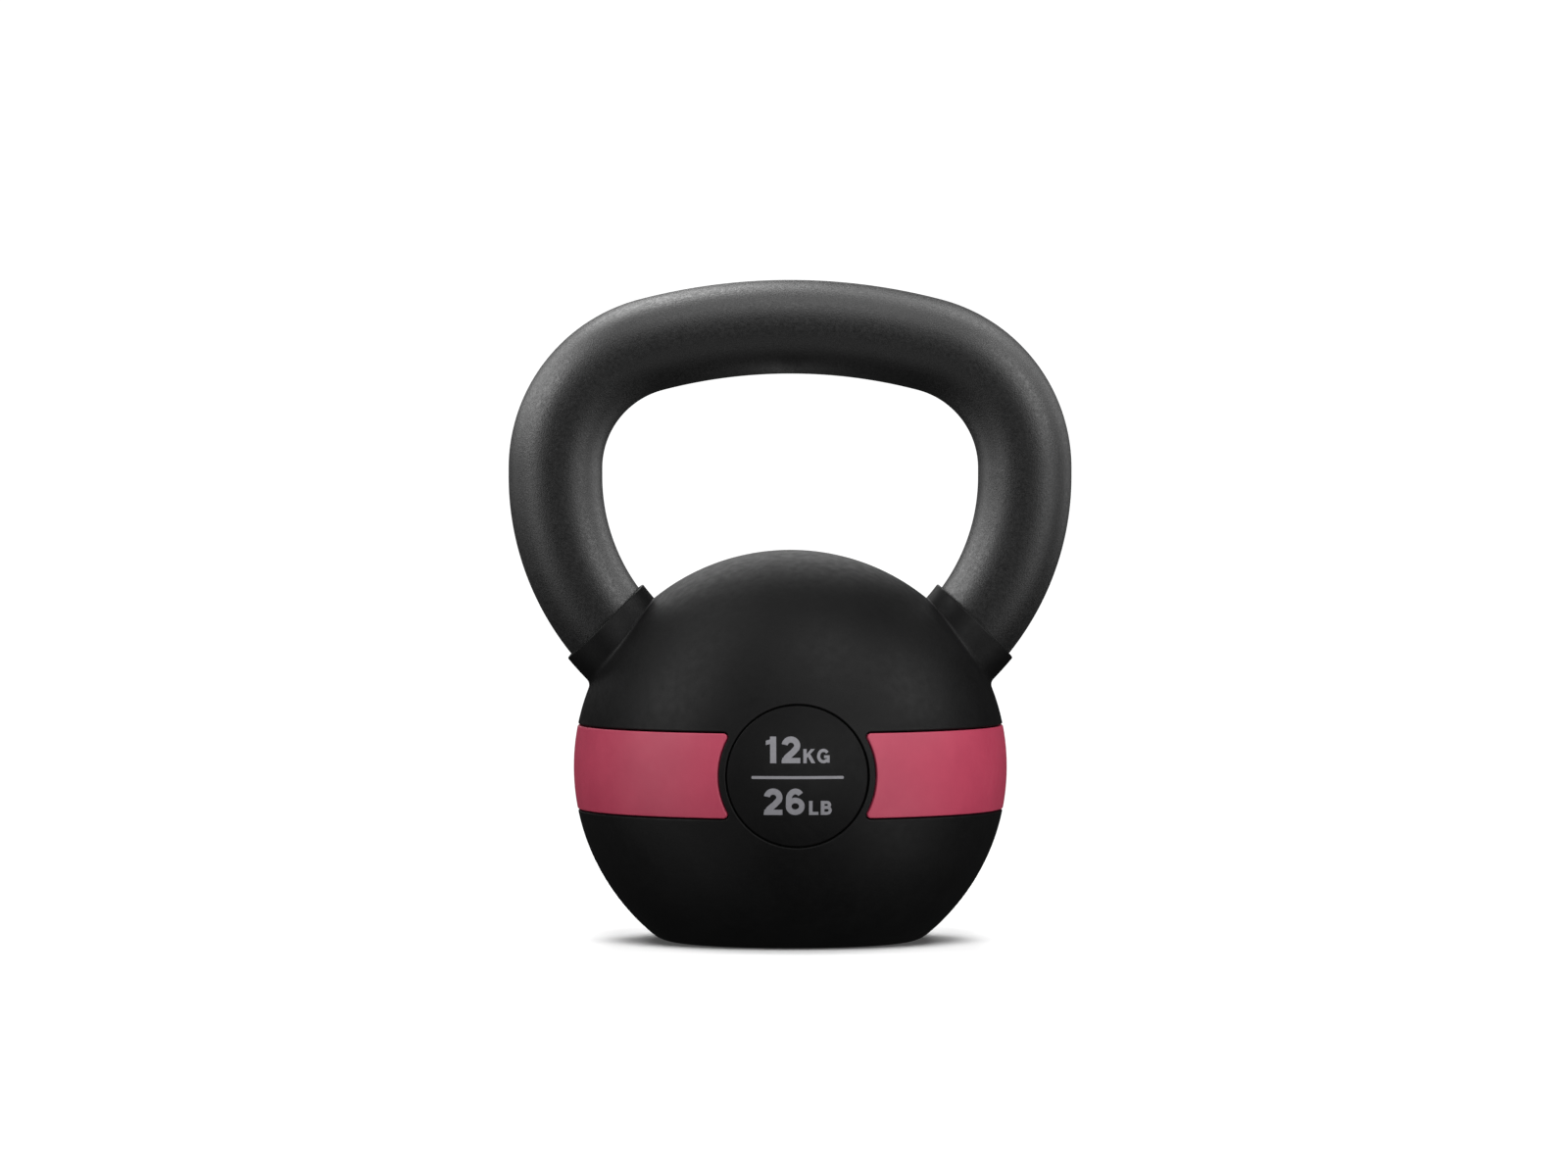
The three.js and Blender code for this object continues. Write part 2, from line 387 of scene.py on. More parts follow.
def fillet_columns():
    """For each turn round the leg, the fillet's points from the collar's side to the ball."""
    columns = []
    for turn in turns():
        size = COLLAR_FILLET + COLLAR_FILLET_SWING * math.cos(turn)
        shift = LEG_OFFSET * math.cos(turn)
        section = math.sqrt(BALL_RADIUS**2 - (LEG_OFFSET * math.sin(turn)) ** 2)
        reach = COLLAR_RADIUS + size
        along = math.sqrt((section + size) ** 2 - (reach + shift) ** 2)
        last = math.pi + math.atan2(along, reach + shift)
        column = [
            leg_point(reach + size * math.cos(a), turn, along + size * math.sin(a), 1 - i / FILLET_STEPS)
            for i, a in enumerate(steps(math.pi, last, FILLET_STEPS))
        ]
        columns.append((along, column))
    return columns


# ---------------------------------------------------------------- the cover


def add_collar(skin):
    """The front half of the right collar and of its bore, down to the cavity.

    Returns the edge where the fillet meets the ball and the edge where the bore meets the cavity.
    """
    columns = fillet_columns()
    skin.loft([[column[i] for _, column in columns] for i in range(FILLET_STEPS + 1)])

    side_top = [rim_along(COLLAR_RADIUS, t, RIM_OUTER_EDGE) for t in turns()]
    side_rows = []
    for share in steps(0, 1, COLLAR_SIDE_STEPS):
        side_rows.append(
            [
                leg_point(COLLAR_RADIUS, t, low + (high - low) * share)
                for t, high, (low, _) in zip(turns(), side_top, columns)
            ]
        )
    skin.loft(side_rows)

    bore = HANDLE_RADIUS + GAP
    profile = []
    for a in steps(0, math.pi / 2, RIM_STEPS):
        reach = COLLAR_RADIUS - RIM_OUTER_EDGE * (1 - math.cos(a))
        profile.append((reach, RIM_OUTER_EDGE * (1 - math.sin(a))))
    for a in steps(math.pi / 2, 0, RIM_STEPS):
        reach = bore + RIM_INNER_EDGE * (1 - math.cos(a))
        profile.append((reach, RIM_INNER_EDGE * (1 - math.sin(a))))
    rim_rows = [
        [leg_point(reach, t, rim_along(reach, t, below)) for t in turns()] for reach, below in profile
    ]
    skin.loft(rim_rows)

    cavity_radius = CORE_RADIUS + GAP
    bore_rows = []
    for share in steps(0, 1, BORE_STEPS):
        row = []
        for t in turns():
            high = rim_along(bore, t, RIM_INNER_EDGE)
            low = sphere_along(cavity_radius, bore, t)
            row.append(leg_point(bore, t, high + (low - high) * share))
        bore_rows.append(row)
    skin.loft(bore_rows)
    foot = [column[-1] for _, column in columns]
    return foot, bore_rows[-1]


def base_angle(radius, drop, edge):
    """The elevation where a ball of this radius turns into the rounding above a flat this far below."""
    return -math.asin((drop - edge) / (radius - edge))


def add_base(skin, radius, drop, edge):
    """The rounded edge and the flat under a quarter of a ball, from where the ball ends."""
    start = base_angle(radius, drop, edge)
    centre = (radius - edge) * math.cos(start)
    profile = [
        (centre + edge * math.cos(a), edge - drop + edge * math.sin(a))
        for a in steps(start, -math.pi / 2, 2 * EDGE_STEPS)
    ]
    profile += [(centre * (1 - i / BASE_RINGS), -drop) for i in range(1, BASE_RINGS)]
    azimuths = steps(0, math.pi / 2, BASE_STEPS)
    rows = [[Vector((r * math.cos(a), -r * math.sin(a), z)) for a in azimuths] for r, z in profile]
    skin.loft(rows)
    skin.fan(Vector((0, 0, -drop)), rows[-1])


def add_channel(skin):
    """A quarter of the band's channel: its rounded edge, its wall and its floor."""
    rows = [at_depth(band_outline(SEAM + back), depth) for back, depth in rounded(COVER_EDGE)]
    depth = BAND_THICKNESS + GAP
    wall = band_outline(SEAM)
    rows.append(at_depth(wall, depth))
    skin.loft(rows)
    points, faces = fill(band_closed(wall, HIDDEN_SPACING), HIDDEN_SPACING)
    skin.add(at_depth(points, depth), faces)


def add_recess(skin):
    """Half of the badge's recess: its rounded edge, its wall and its floor."""
    wall = BADGE_RADIUS + SEAM + GROOVE_EASE
    rows = [at_depth(badge_circle(wall + back), depth) for back, depth in rounded(COVER_EDGE)]
    depth = BADGE_THICKNESS + GAP
    floor = math.sqrt((BALL_RADIUS - depth) ** 2 - wall**2)
    rows.append([Vector((p.x, -floor, p.z)) for p in badge_circle(wall)])
    for share in steps(1, 0, RECESS_RINGS)[1:-1]:
        y = -math.sqrt((BALL_RADIUS - depth) ** 2 - (wall * share) ** 2)
        rows.append([Vector((p.x * share, y, p.z * share)) for p in badge_circle(wall)])
    skin.loft(rows)
    skin.fan(Vector((0, depth - BALL_RADIUS, 0)), rows[-1])


def add_skin(skin, foot):
    """A quarter of the ball's outside, less its collar, channel and badge recess."""
    low = base_angle(BALL_RADIUS, CENTRE_HEIGHT, BASE_EDGE)
    recess = badge_circle(BADGE_RADIUS + SEAM + GROOVE_EASE + COVER_EDGE)
    recess_limit = math.asin(recess[-1].z / BALL_RADIUS)
    channel = band_outline(SEAM + COVER_EDGE)
    channel_limit = math.asin(channel[0].z / BALL_RADIUS)
    foot_inner = math.atan2(foot[-1].z, foot[-1].x)
    foot_outer = math.atan2(foot[0].z, foot[0].x)
    boundary = [
        front_meridian(low, -recess_limit),
        recess,
        front_meridian(recess_limit, math.pi / 2),
        side_meridian(math.pi / 2, foot_inner),
        list(reversed(foot)),
        side_meridian(foot_outer, channel_limit),
        channel,
        side_meridian(-channel_limit, low),
        latitude(low),
    ]
    points, faces = fill([p for part in boundary for p in part[:-1]], SKIN_SPACING)
    skin.add(points, faces)


def add_cavity(skin, bore_foot):
    """A quarter of the hollow that the core fills."""
    radius = CORE_RADIUS + GAP
    drop = CENTRE_HEIGHT - CORE_FLOOR + GAP
    edge = CORE_EDGE + GAP
    low = base_angle(radius, drop, edge)
    scale = BALL_RADIUS / radius
    bore = [p * scale for p in bore_foot]
    inner = math.atan2(bore[-1].z, bore[-1].x)
    outer = math.atan2(bore[0].z, bore[0].x)
    boundary = [
        front_meridian(low, math.pi / 2, HIDDEN_SPACING),
        side_meridian(math.pi / 2, inner, HIDDEN_SPACING),
        list(reversed(bore)),
        side_meridian(outer, low, HIDDEN_SPACING),
        latitude(low),
    ]
    points, faces = fill([p for part in boundary for p in part[:-1]], HIDDEN_SPACING)
    skin.add([p / scale for p in points], faces)
    add_base(skin, radius, drop, edge)


def make_cover():
    quarter = Skin()
    foot, bore_foot = add_collar(quarter)
    add_skin(quarter, foot)
    add_channel(quarter)
    add_recess(quarter)
    add_base(quarter, BALL_RADIUS, CENTRE_HEIGHT, BASE_EDGE)
    add_cavity(quarter, bore_foot)
    return make_object("moulded_cover", quarter, ((1, 1), (-1, 1), (1, -1), (-1, -1)), CENTRE_HEIGHT)


# ---------------------------------------------------------------- bands and badges


def make_band(name, side):
    half = Skin()
    rows = [at_depth(band_outline(-back), depth) for back, depth in rounded(BAND_EDGE)]
    rows.append(at_depth(band_outline(0), BAND_THICKNESS))
    half.loft(rows)
    points, faces = fill(band_closed(rows[0], SKIN_SPACING), SKIN_SPACING)
    half.add(points, faces)
    points, faces = fill(band_closed(band_outline(0), HIDDEN_SPACING), HIDDEN_SPACING)
    half.add(at_depth(points, BAND_THICKNESS), faces)
    return make_object(name, half, ((side, 1), (side, -1)), CENTRE_HEIGHT)


def turned_rows(profile, axis_point):
    """Closed rings of points from a profile of (radius, height).

    axis_point(radius, angle, height) places each point.
    """
    angles = [2 * math.pi * i / TURNED_SEGMENTS for i in range(TURNED_SEGMENTS)]
    return [[axis_point(r, a, h) for a in angles] for r, h in profile]


def make_badge(name, side):
    """A domed disc flush with the ball, at the front (-1) or the rear (1)."""

    def place(r, a, y):
        return Vector((r * math.cos(a), side * y, r * math.sin(a)))

    def dome(r, ball):
        return math.sqrt(ball**2 - r * r)

    radius = BADGE_RADIUS - GROOVE_EASE
    flat = radius - BADGE_EDGE
    inner = BALL_RADIUS - BADGE_THICKNESS
    face = [flat * i / BADGE_FACE_RINGS for i in range(1, BADGE_FACE_RINGS)]
    profile = [(r, dome(r, BALL_RADIUS)) for r in face]
    for back, depth in rounded(BADGE_EDGE):
        r = radius - back
        profile.append((r, dome(r, BALL_RADIUS) - depth))
    back_face = [radius * i / BADGE_BACK_RINGS for i in range(BADGE_BACK_RINGS, 0, -1)]
    profile += [(r, dome(r, inner)) for r in back_face]
    rows = turned_rows(profile, place)
    disc = Skin()
    disc.loft(rows, closed=True)
    disc.fan(place(0, 0, BALL_RADIUS), rows[0], closed=True)
    disc.fan(place(0, 0, inner), rows[-1], closed=True)
    return make_object(name, disc, lift=CENTRE_HEIGHT)


# ---------------------------------------------------------------- the handle, core and pins


def handle_line(extra=0.0):
    """The handle's centreline as (point, direction) pairs in the part's frame, from left to right.

    extra lengthens its buried ends.
    """
    corner_x = LEG_RADIUS - CORNER_RADIUS
    lean = math.asin(corner_x / (GRIP_RADIUS - CORNER_RADIUS))
    grip_z = CORNER_CENTRE_Z - corner_x / math.tan(lean)
    half = []

    def arc(x, z, radius, start, end):
        count = math.ceil(abs(end - start) * radius / HANDLE_SPACING)
        for a in steps(start, end, count):
            point = Vector((x + radius * math.sin(a), 0, z + radius * math.cos(a)))
            half.append((point, Vector((math.cos(a), 0, -math.sin(a)))))

    def line(start, end):
        count = math.ceil((end - start).length / HANDLE_SPACING)
        for share in steps(0, 1, count):
            half.append((start.lerp(end, share), (end - start).normalized()))

    side = math.pi / 2
    arc(0, grip_z, GRIP_RADIUS, 0, lean)
    arc(corner_x, CORNER_CENTRE_Z, CORNER_RADIUS, lean, side)
    line(half[-1][0], Vector((LEG_RADIUS, 0, LEG_CENTRE_Z)))
    arc(0, LEG_CENTRE_Z, LEG_RADIUS, side, side + LEG_STRAIGHT_ANGLE)
    entry = half[-1][0]
    line(entry, entry - (LEG_BURIED_LENGTH + extra) * LEG_UP)

    right = [half[0]]
    for point, direction in half[1:]:
        if (point - right[-1][0]).length > MERGE:
            right.append((point, direction))
    left = [(Vector((-p.x, 0, p.z)), Vector((d.x, 0, -d.z))) for p, d in reversed(right[1:])]
    return left + right


def make_bar(name, radius, extra=0.0):
    """The handle's round bar along its centreline, with both ends closed."""
    across = Vector((0, 1, 0))
    rows = []
    for point, direction in handle_line(extra):
        normal = direction.cross(across)
        angles = [2 * math.pi * i / HANDLE_SIDES for i in range(HANDLE_SIDES)]
        rows.append([point + radius * (math.cos(a) * normal + math.sin(a) * across) for a in angles])
    bar = Skin()
    bar.loft(rows, closed=True)
    for row in (rows[0], rows[-1]):
        centre = sum(row, Vector()) / len(row)
        bar.fan(centre, row, closed=True)
    return make_object(name, bar)


def make_pin(name, side, grow=0.0):
    """A cross pin through one leg, or its hole when grown."""
    centre = (PIN_LOW + PIN_HIGH) / 2
    radius = (PIN_HIGH.z - PIN_LOW.z) / 2 + grow
    half = (PIN_HIGH.y - PIN_LOW.y) / 2 + grow
    bevel = radius - PIN_CHAMFER
    shoulder = half - PIN_CHAMFER
    profile = [(bevel, -half), (radius, -shoulder), (radius, shoulder), (bevel, half)]

    def place(r, a, y):
        return Vector((side * centre.x + r * math.cos(a), y, centre.z + r * math.sin(a)))

    rows = turned_rows(profile, place)
    pin = Skin()
    pin.loft(rows, closed=True)
    pin.fan(place(0, 0, -half), rows[0], closed=True)
    pin.fan(place(0, 0, half), rows[-1], closed=True)
    return make_object(name, pin, sharp_degrees=30)


def pin_holes():
    return [make_pin("hole", side, GAP) for side in (-1, 1)]


def make_core():
    """The iron core, with a seat for each leg and pin."""
    drop = CENTRE_HEIGHT - CORE_FLOOR
    quarter = Skin()
    low = base_angle(CORE_RADIUS, drop, CORE_EDGE)
    azimuths = steps(0, math.pi / 2, BASE_STEPS)
    rows = []
    for e in steps(low, math.pi / 2, CORE_RINGS)[:-1]:
        reach, z = CORE_RADIUS * math.cos(e), CORE_RADIUS * math.sin(e)
        rows.append([Vector((reach * math.cos(a), -reach * math.sin(a), z)) for a in azimuths])
    quarter.loft(rows)
    quarter.fan(Vector((0, 0, CORE_RADIUS)), rows[-1])
    add_base(quarter, CORE_RADIUS, drop, CORE_EDGE)
    core = make_object("iron_core", quarter, ((1, 1), (-1, 1), (1, -1), (-1, -1)), CENTRE_HEIGHT)
    return cut(core, [make_bar("seat", HANDLE_RADIUS + GAP, GAP)] + pin_holes())


# ---------------------------------------------------------------- the printed weight


def stroke(points, width):
    """The outline of a line of this width through 2-D points."""
    points = [Vector(p) for p in points]
    left, right = [], []
    for i, p in enumerate(points):
        before = (p - points[i - 1]).normalized() if i > 0 else (points[1] - p).normalized()
        after = (points[i + 1] - p).normalized() if i < len(points) - 1 else before
        along = (before + after).normalized()
        normal = Vector((-along.y, along.x)) * (width / 2 / along.dot(before))
        left.append(p + normal)
        right.append(p - normal)
    return left + right[::-1]


def curve(x, y, rx, ry, start, end):
    """Points of an ellipse's arc between two angles in degrees."""
    angles = steps(math.radians(start), math.radians(end), CURVE_STEPS)
    return [(x + rx * math.cos(a), y + ry * math.sin(a)) for a in angles]


def block(x0, y0, x1, y1):
    return [Vector(p) for p in ((x0, y0), (x1, y0), (x1, y1), (x0, y1))]


# Each figure is a list of outlines in a box 1 high, joined where they overlap. WEIGHT is a stroke's width.
WEIGHT = 0.23


def figure_one():
    return [
        block(0.16, 0, 0.39, 1),
        [Vector(p) for p in ((0.27, 1), (0.18, 0.9), (0, 0.84), (0, 0.68), (0.27, 0.75))],
    ]


def figure_two():
    bowl = curve(0.35, 0.665, 0.235, 0.225, 172, -28)
    neck = [(0.42, 0.41), (0.2, 0.22), (0.14, 0.12)]
    heel = [Vector(p) for p in ((0, 0), (0.3, 0), (0.3, 0.15), (0.04, 0.2), (0, 0.1))]
    return [stroke(bowl + neck, WEIGHT), block(0.02, 0, 0.7, 0.2), heel]


def figure_six():
    ring = [stroke(curve(0.365, 0.33, 0.25, 0.225, a, a + 180), 0.21) for a in (0, 180)]
    back = [(0.118, 0.33), (0.118, 0.42)] + curve(0.37, 0.58, 0.252, 0.315, 165, 40)
    return ring + [stroke(back, 0.215)]


def letter_k():
    arm = [Vector(p) for p in ((0.18, 0.3), (0.18, 0.57), (0.54, 1), (0.82, 1))]
    leg = [Vector(p) for p in ((0.3, 0.5), (0.48, 0.66), (0.86, 0), (0.58, 0))]
    return [block(0, 0, 0.24, 1), arm, leg]


def letter_g():
    bowl = stroke(curve(0.46, 0.5, 0.345, 0.4, 36, 322), 0.22)
    return [bowl, block(0.5, 0.36, 0.9, 0.55), block(0.71, 0.03, 0.9, 0.5)]


def letter_l():
    return [block(0, 0, 0.25, 1), block(0, 0, 0.67, 0.22)]


def letter_b():
    upper = [(0.1, 0.89)] + curve(0.42, 0.71, 0.2, 0.18, 90, -90) + [(0.1, 0.53)]
    lower = [(0.1, 0.53)] + curve(0.44, 0.32, 0.23, 0.21, 90, -90) + [(0.1, 0.11)]
    return [block(0, 0, 0.26, 1), stroke(upper, 0.22), stroke(lower, 0.22)]


def placed(outlines, x, z, height):
    """Outlines scaled to a height in millimetres, with their lower left corner at x, z."""
    at = Vector((x, z))
    return [[(p * height + at) * MM for p in outline] for outline in outlines]


def area(outline):
    """The area inside a 2-D outline, negative if it runs clockwise."""
    return sum(a.cross(b) for a, b in zip(outline, outline[1:] + outline[:1])) / 2


def divided(outline):
    """An outline run counterclockwise, its long edges divided so that it can follow the dome."""
    if area(outline) < 0:
        outline = outline[::-1]
    result = []
    for a, b in zip(outline, outline[1:] + outline[:1]):
        count = max(1, math.ceil((b - a).length / PRINT_SPACING))
        result += [a.lerp(b, i / count) for i in range(count)]
    return result


def make_print(name, outlines):
    """A thin printed shape on the front badge, from overlapping 2-D outlines of x and z."""
    coords, rings = [], []
    for outline in outlines:
        ring = divided(outline)
        rings.append(list(range(len(coords), len(coords) + len(ring))))
        coords += ring
    result = delaunay_2d_cdt(coords, [], rings, 1, TRIANGULATION_TOLERANCE)
    flat, _, faces, _, _, owners = result
    faces = [face for face, owner in zip(faces, owners) if owner]

    def on_dome(radius):
        return [Vector((p.x, -math.sqrt(radius**2 - p.length_squared), p.y)) for p in flat]

    used = {}
    for face in faces:
        for i, a in enumerate(face):
            b = face[(i + 1) % len(face)]
            used.setdefault((min(a, b), max(a, b)), []).append((a, b))
    count = len(flat)
    walls = [[a, b, b + count, a + count] for (a, b), *others in used.values() if not others]
    shape = Skin()
    top, bottom = on_dome(BALL_RADIUS + PRINT_HEIGHT), on_dome(BALL_RADIUS - PRINT_SINK)
    shape.add(top + bottom, list(faces) + [[i + count for i in face] for face in faces] + walls)
    return make_object(name, shape, lift=CENTRE_HEIGHT)


def make_prints():
    """The weight in kilograms over the weight in pounds, with a rule between, in millimetres."""
    figures, letters = 9.2, 4.9
    upper, lower = 4.71, -13.29
    kilograms = placed(figure_one(), -11.02, upper, figures)
    kilograms += placed(figure_two(), -5.57, upper, figures)
    kilograms += placed(letter_k(), 1.93, upper, letters)
    kilograms += placed(letter_g(), 6.68, upper, letters)
    pounds = placed(figure_two(), -11.72, lower, figures)
    pounds += placed(figure_six(), -4.21, lower, figures)
    pounds += placed(letter_l(), 3.93, lower, letters)
    pounds += placed(letter_b(), 8.02, lower, letters)
    rule_height, rule_z, rule_half = 1.0, -0.27, 15.55
    ends = curve(rule_half, rule_z, rule_height / 2, rule_height / 2, -90, 90)
    ends += curve(-rule_half, rule_z, rule_height / 2, rule_height / 2, 90, 270)
    rule = [[Vector(p) * MM for p in ends]]
    return [
        make_print("printed_kilograms", kilograms),
        make_print("printed_rule", rule),
        make_print("printed_pounds", pounds),
    ]


# ---------------------------------------------------------------- materials


class Recipe:
    """A procedural material being built, on object coordinates in metres."""

    def __init__(self, name, colour, roughness, specular, metallic=0.0):
        self.material = bpy.data.materials.new(name)
        self.material.use_nodes = True
        self.nodes = self.material.node_tree.nodes
        self.links = self.material.node_tree.links
        self.shader = self.nodes["Principled BSDF"]
        self.shader.inputs["Base Color"].default_value = (*colour, 1)
        self.shader.inputs["Roughness"].default_value = roughness
        self.shader.inputs["Specular IOR Level"].default_value = specular
        self.shader.inputs["Metallic"].default_value = metallic
        self.colour, self.roughness = colour, roughness
        self.place = self.nodes.new("ShaderNodeTexCoord").outputs["Object"]
        self.normal = None

    def noise(self, size, detail=2.0, roughness=0.5):
        """A noise pattern whose features are about size across."""
        node = self.nodes.new("ShaderNodeTexNoise")
        node.inputs["Scale"].default_value = 1 / size
        node.inputs["Detail"].default_value = detail
        node.inputs["Roughness"].default_value = roughness
        self.links.new(self.place, node.inputs["Vector"])
        return node.outputs["Fac"]

    def grains(self, size):
        """Rounded grains about size across, high in their middles."""
        node = self.nodes.new("ShaderNodeTexVoronoi")
        node.feature = "SMOOTH_F1"
        node.inputs["Scale"].default_value = 1 / size
        node.inputs["Smoothness"].default_value = 0.6
        self.links.new(self.place, node.inputs["Vector"])
        return self.mapped(node.outputs["Distance"], 0.1, 0.7, 1.0, 0.0)

    def mapped(self, value, low, high, new_low, new_high):
        """Stretches the values from low to high over new_low to new_high, and keeps them within it."""
        node = self.nodes.new("ShaderNodeMapRange")
        node.inputs["From Min"].default_value = low
        node.inputs["From Max"].default_value = high
        node.inputs["To Min"].default_value = new_low
        node.inputs["To Max"].default_value = new_high
        self.links.new(value, node.inputs["Value"])
        return node.outputs["Result"]

    def bump(self, height, distance):
        """Stands the surface up by height times distance, on top of any bump so far."""
        node = self.nodes.new("ShaderNodeBump")
        node.inputs["Strength"].default_value = 1
        node.inputs["Distance"].default_value = distance
        self.links.new(height, node.inputs["Height"])
        if self.normal is not None:
            self.links.new(self.normal, node.inputs["Normal"])
        self.normal = node.outputs["Normal"]
        self.links.new(self.normal, self.shader.inputs["Normal"])

    def vary_colour(self, pattern, other, low=0.35, high=0.65):
        """Runs from the base colour to another one as the pattern goes from low to high."""
        node = self.nodes.new("ShaderNodeMix")
        node.data_type = "RGBA"
        for socket in node.inputs:
            if socket.identifier == "A_Color":
                socket.default_value = (*self.colour, 1)
            if socket.identifier == "B_Color":
                socket.default_value = (*other, 1)
        self.links.new(self.mapped(pattern, low, high, 0, 1), node.inputs["Factor"])
        colour = next(s for s in node.outputs if s.identifier == "Result_Color")
        self.links.new(colour, self.shader.inputs["Base Color"])

    def vary_roughness(self, pattern, spread):
        """Moves the roughness up and down by spread with the pattern."""
        value = self.mapped(pattern, 0.3, 0.7, self.roughness - spread, self.roughness + spread)
        self.links.new(value, self.shader.inputs["Roughness"])


def rubber(name, colour, tint, roughness, specular):
    """Moulded rubber with a fine spark-eroded grain."""
    made = Recipe(name, colour, roughness, specular)
    made.bump(made.noise(9 * MM, 2), 0.05 * MM)
    made.bump(made.noise(0.45 * MM, 3, 0.6), 0.045 * MM)
    made.vary_colour(made.noise(14 * MM, 4), tint)
    made.vary_roughness(made.noise(3 * MM, 3), 0.05)
    return made.material


def powder_coat():
    """A sandy black powder coat: fine grains, painted a little paler on top than in the hollows, as a
    painted highlight on the grains and painted shade between them.
    """
    made = Recipe("powder_coat", (0.009, 0.009, 0.0092), 0.5, 1.0)
    grain = made.grains(0.65 * MM)
    made.bump(made.noise(2.5 * MM, 2), 0.035 * MM)
    made.bump(grain, 0.03 * MM)
    made.bump(made.noise(0.3 * MM, 2), 0.01 * MM)
    # painted highlight on the grain tops and painted shade in the hollows between them
    made.vary_colour(grain, (0.0135, 0.0135, 0.0138), 0.2, 0.9)
    made.vary_roughness(made.noise(1.2 * MM, 3), 0.08)
    return made.material


def cast_iron():
    made = Recipe("cast_iron", (0.06, 0.058, 0.056), 0.62, 0.5, 0.85)
    made.bump(made.noise(1.6 * MM, 6, 0.65), 0.35 * MM)
    made.vary_colour(made.noise(8 * MM, 5), (0.11, 0.085, 0.07))
    made.vary_roughness(made.noise(2 * MM, 4), 0.12)
    return made.material


def pin_steel():
    made = Recipe("drawn_steel", (0.52, 0.52, 0.53), 0.3, 0.5, 1.0)
    made.bump(made.noise(0.5 * MM, 3), 0.01 * MM)
    made.vary_colour(made.noise(3 * MM, 3), (0.42, 0.42, 0.44))
    made.vary_roughness(made.noise(0.8 * MM, 3), 0.08)
    return made.material


def print_ink():
    made = Recipe("print_ink", (0.31, 0.306, 0.331), 0.5, 0.4)
    made.bump(made.noise(0.4 * MM, 3), 0.02 * MM)
    made.vary_colour(made.noise(1.2 * MM, 3), (0.28, 0.277, 0.3))
    made.vary_roughness(made.noise(1.5 * MM, 3), 0.05)
    return made.material


def dress(made, material, slot, *nodes):
    """Gives a piece its material, rides it on the body and lets it replace CAD nodes. Its slot is not
    used.
    """
    made.data.materials.clear()
    made.data.materials.append(material)
    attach(made, "root")
    if nodes:
        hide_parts(*nodes)
    return made


# ---------------------------------------------------------------- the object

# The crimson, the coat's colour and the gloss of the black and crimson rubber come from the same fit as
# the softboxes. The rest were given one by one.
black = rubber("black_rubber", (0.0048, 0.0048, 0.0049), (0.0062, 0.0062, 0.0063), 0.5, 0.2)
badge_black = rubber("badge_rubber", (0.0045, 0.0045, 0.0046), (0.0058, 0.0058, 0.0059), 0.5, 0.15)
crimson = rubber("crimson_rubber", (0.54, 0.056, 0.114), (0.58, 0.064, 0.125), 0.5, 0.59)
coat = powder_coat()
steel = pin_steel()
ink = print_ink()

dress(make_cover(), black, "cover_rubber", "cover")
dress(make_band("left_band_inlay", -1), crimson, "band_rubber", "left_band")
dress(make_band("right_band_inlay", 1), crimson, "band_rubber", "right_band")
dress(make_badge("front_badge_disc", -1), badge_black, "badge_rubber", "front_badge")
dress(make_badge("rear_badge_disc", 1), badge_black, "badge_rubber", "rear_badge")
handle = dress(cut(make_bar("handle_bar", HANDLE_RADIUS), pin_holes()), coat, "handle_coat", "handle")
dress(make_core(), cast_iron(), "core_iron", "core")
dress(make_pin("left_cross_pin", -1), steel, "pin_steel", "left_anchor_pin")
dress(make_pin("right_cross_pin", 1), steel, "pin_steel", "right_anchor_pin")
for printed in make_prints():
    dress(printed, ink, "print_ink")

# ---------------------------------------------------------------- stage, lights and camera

FLOOR_RADIUS = 0.7
FLOOR_SOLID_RADIUS = 0.3
FLOOR_SIDES = 128
FLOOR_DROP = 0.1 * MM  # it lies this far under the base
FLOOR_GREY = 0.8
FLOOR_GLOW = 0.065
ROOM_STRENGTH = 0.02
BACKDROP_STRENGTH = 1.1  # over 1, so that it is pure white
SOFTBOX_SIZE = 0.8
SOFTBOX_DISTANCE = 1.5
SOFTBOX_AIM = Vector((0, 0, 0.12))

# Each softbox is its azimuth from the front, positive to the right, its elevation, both in degrees, and
# its radiance. All the ball's rows and ten of the handle's are the result of a least-squares fit of 60
# lights to the brightness of a photograph, and three of those have had their strengths changed.
# The handle's first and fourth rows and all the floor's were set one by one.
BALL_SOFTBOXES = (
    (-75, -5, 1.37),
    (0, 5, 2.33),
    (30, 5, 2.18),
    (-60, -40, 0.6),
    (60, -25, 1.61),
    (-150, 30, 1.14),
    (-75, 30, 3.64),
    (75, 30, 3.49),
    (180, 30, 1.7),
    (-90, 60, 1.85),
    (30, 60, 3.52),
    (180, 60, 1.17),
)

HANDLE_SOFTBOXES = (
    (0, -40, 0.5),
    (-60, -5, 1.3),
    (60, -5, 1.59),
    (-110, 5, 0.4),
    (120, 5, 0.9),
    (-120, 30, 3.3),
    (-75, 30, 5.49),
    (60, 30, 4.14),
    (120, 30, 1.53),
    (-150, 60, 6.77),
    (0, 60, 2.45),
    (120, 60, 3.36),
)

FLOOR_SOFTBOXES = (
    (-90, 62, 6.2),
    (90, 62, 6.0),
    (0, 46, 12.0),
    (180, 55, 9.5),
)


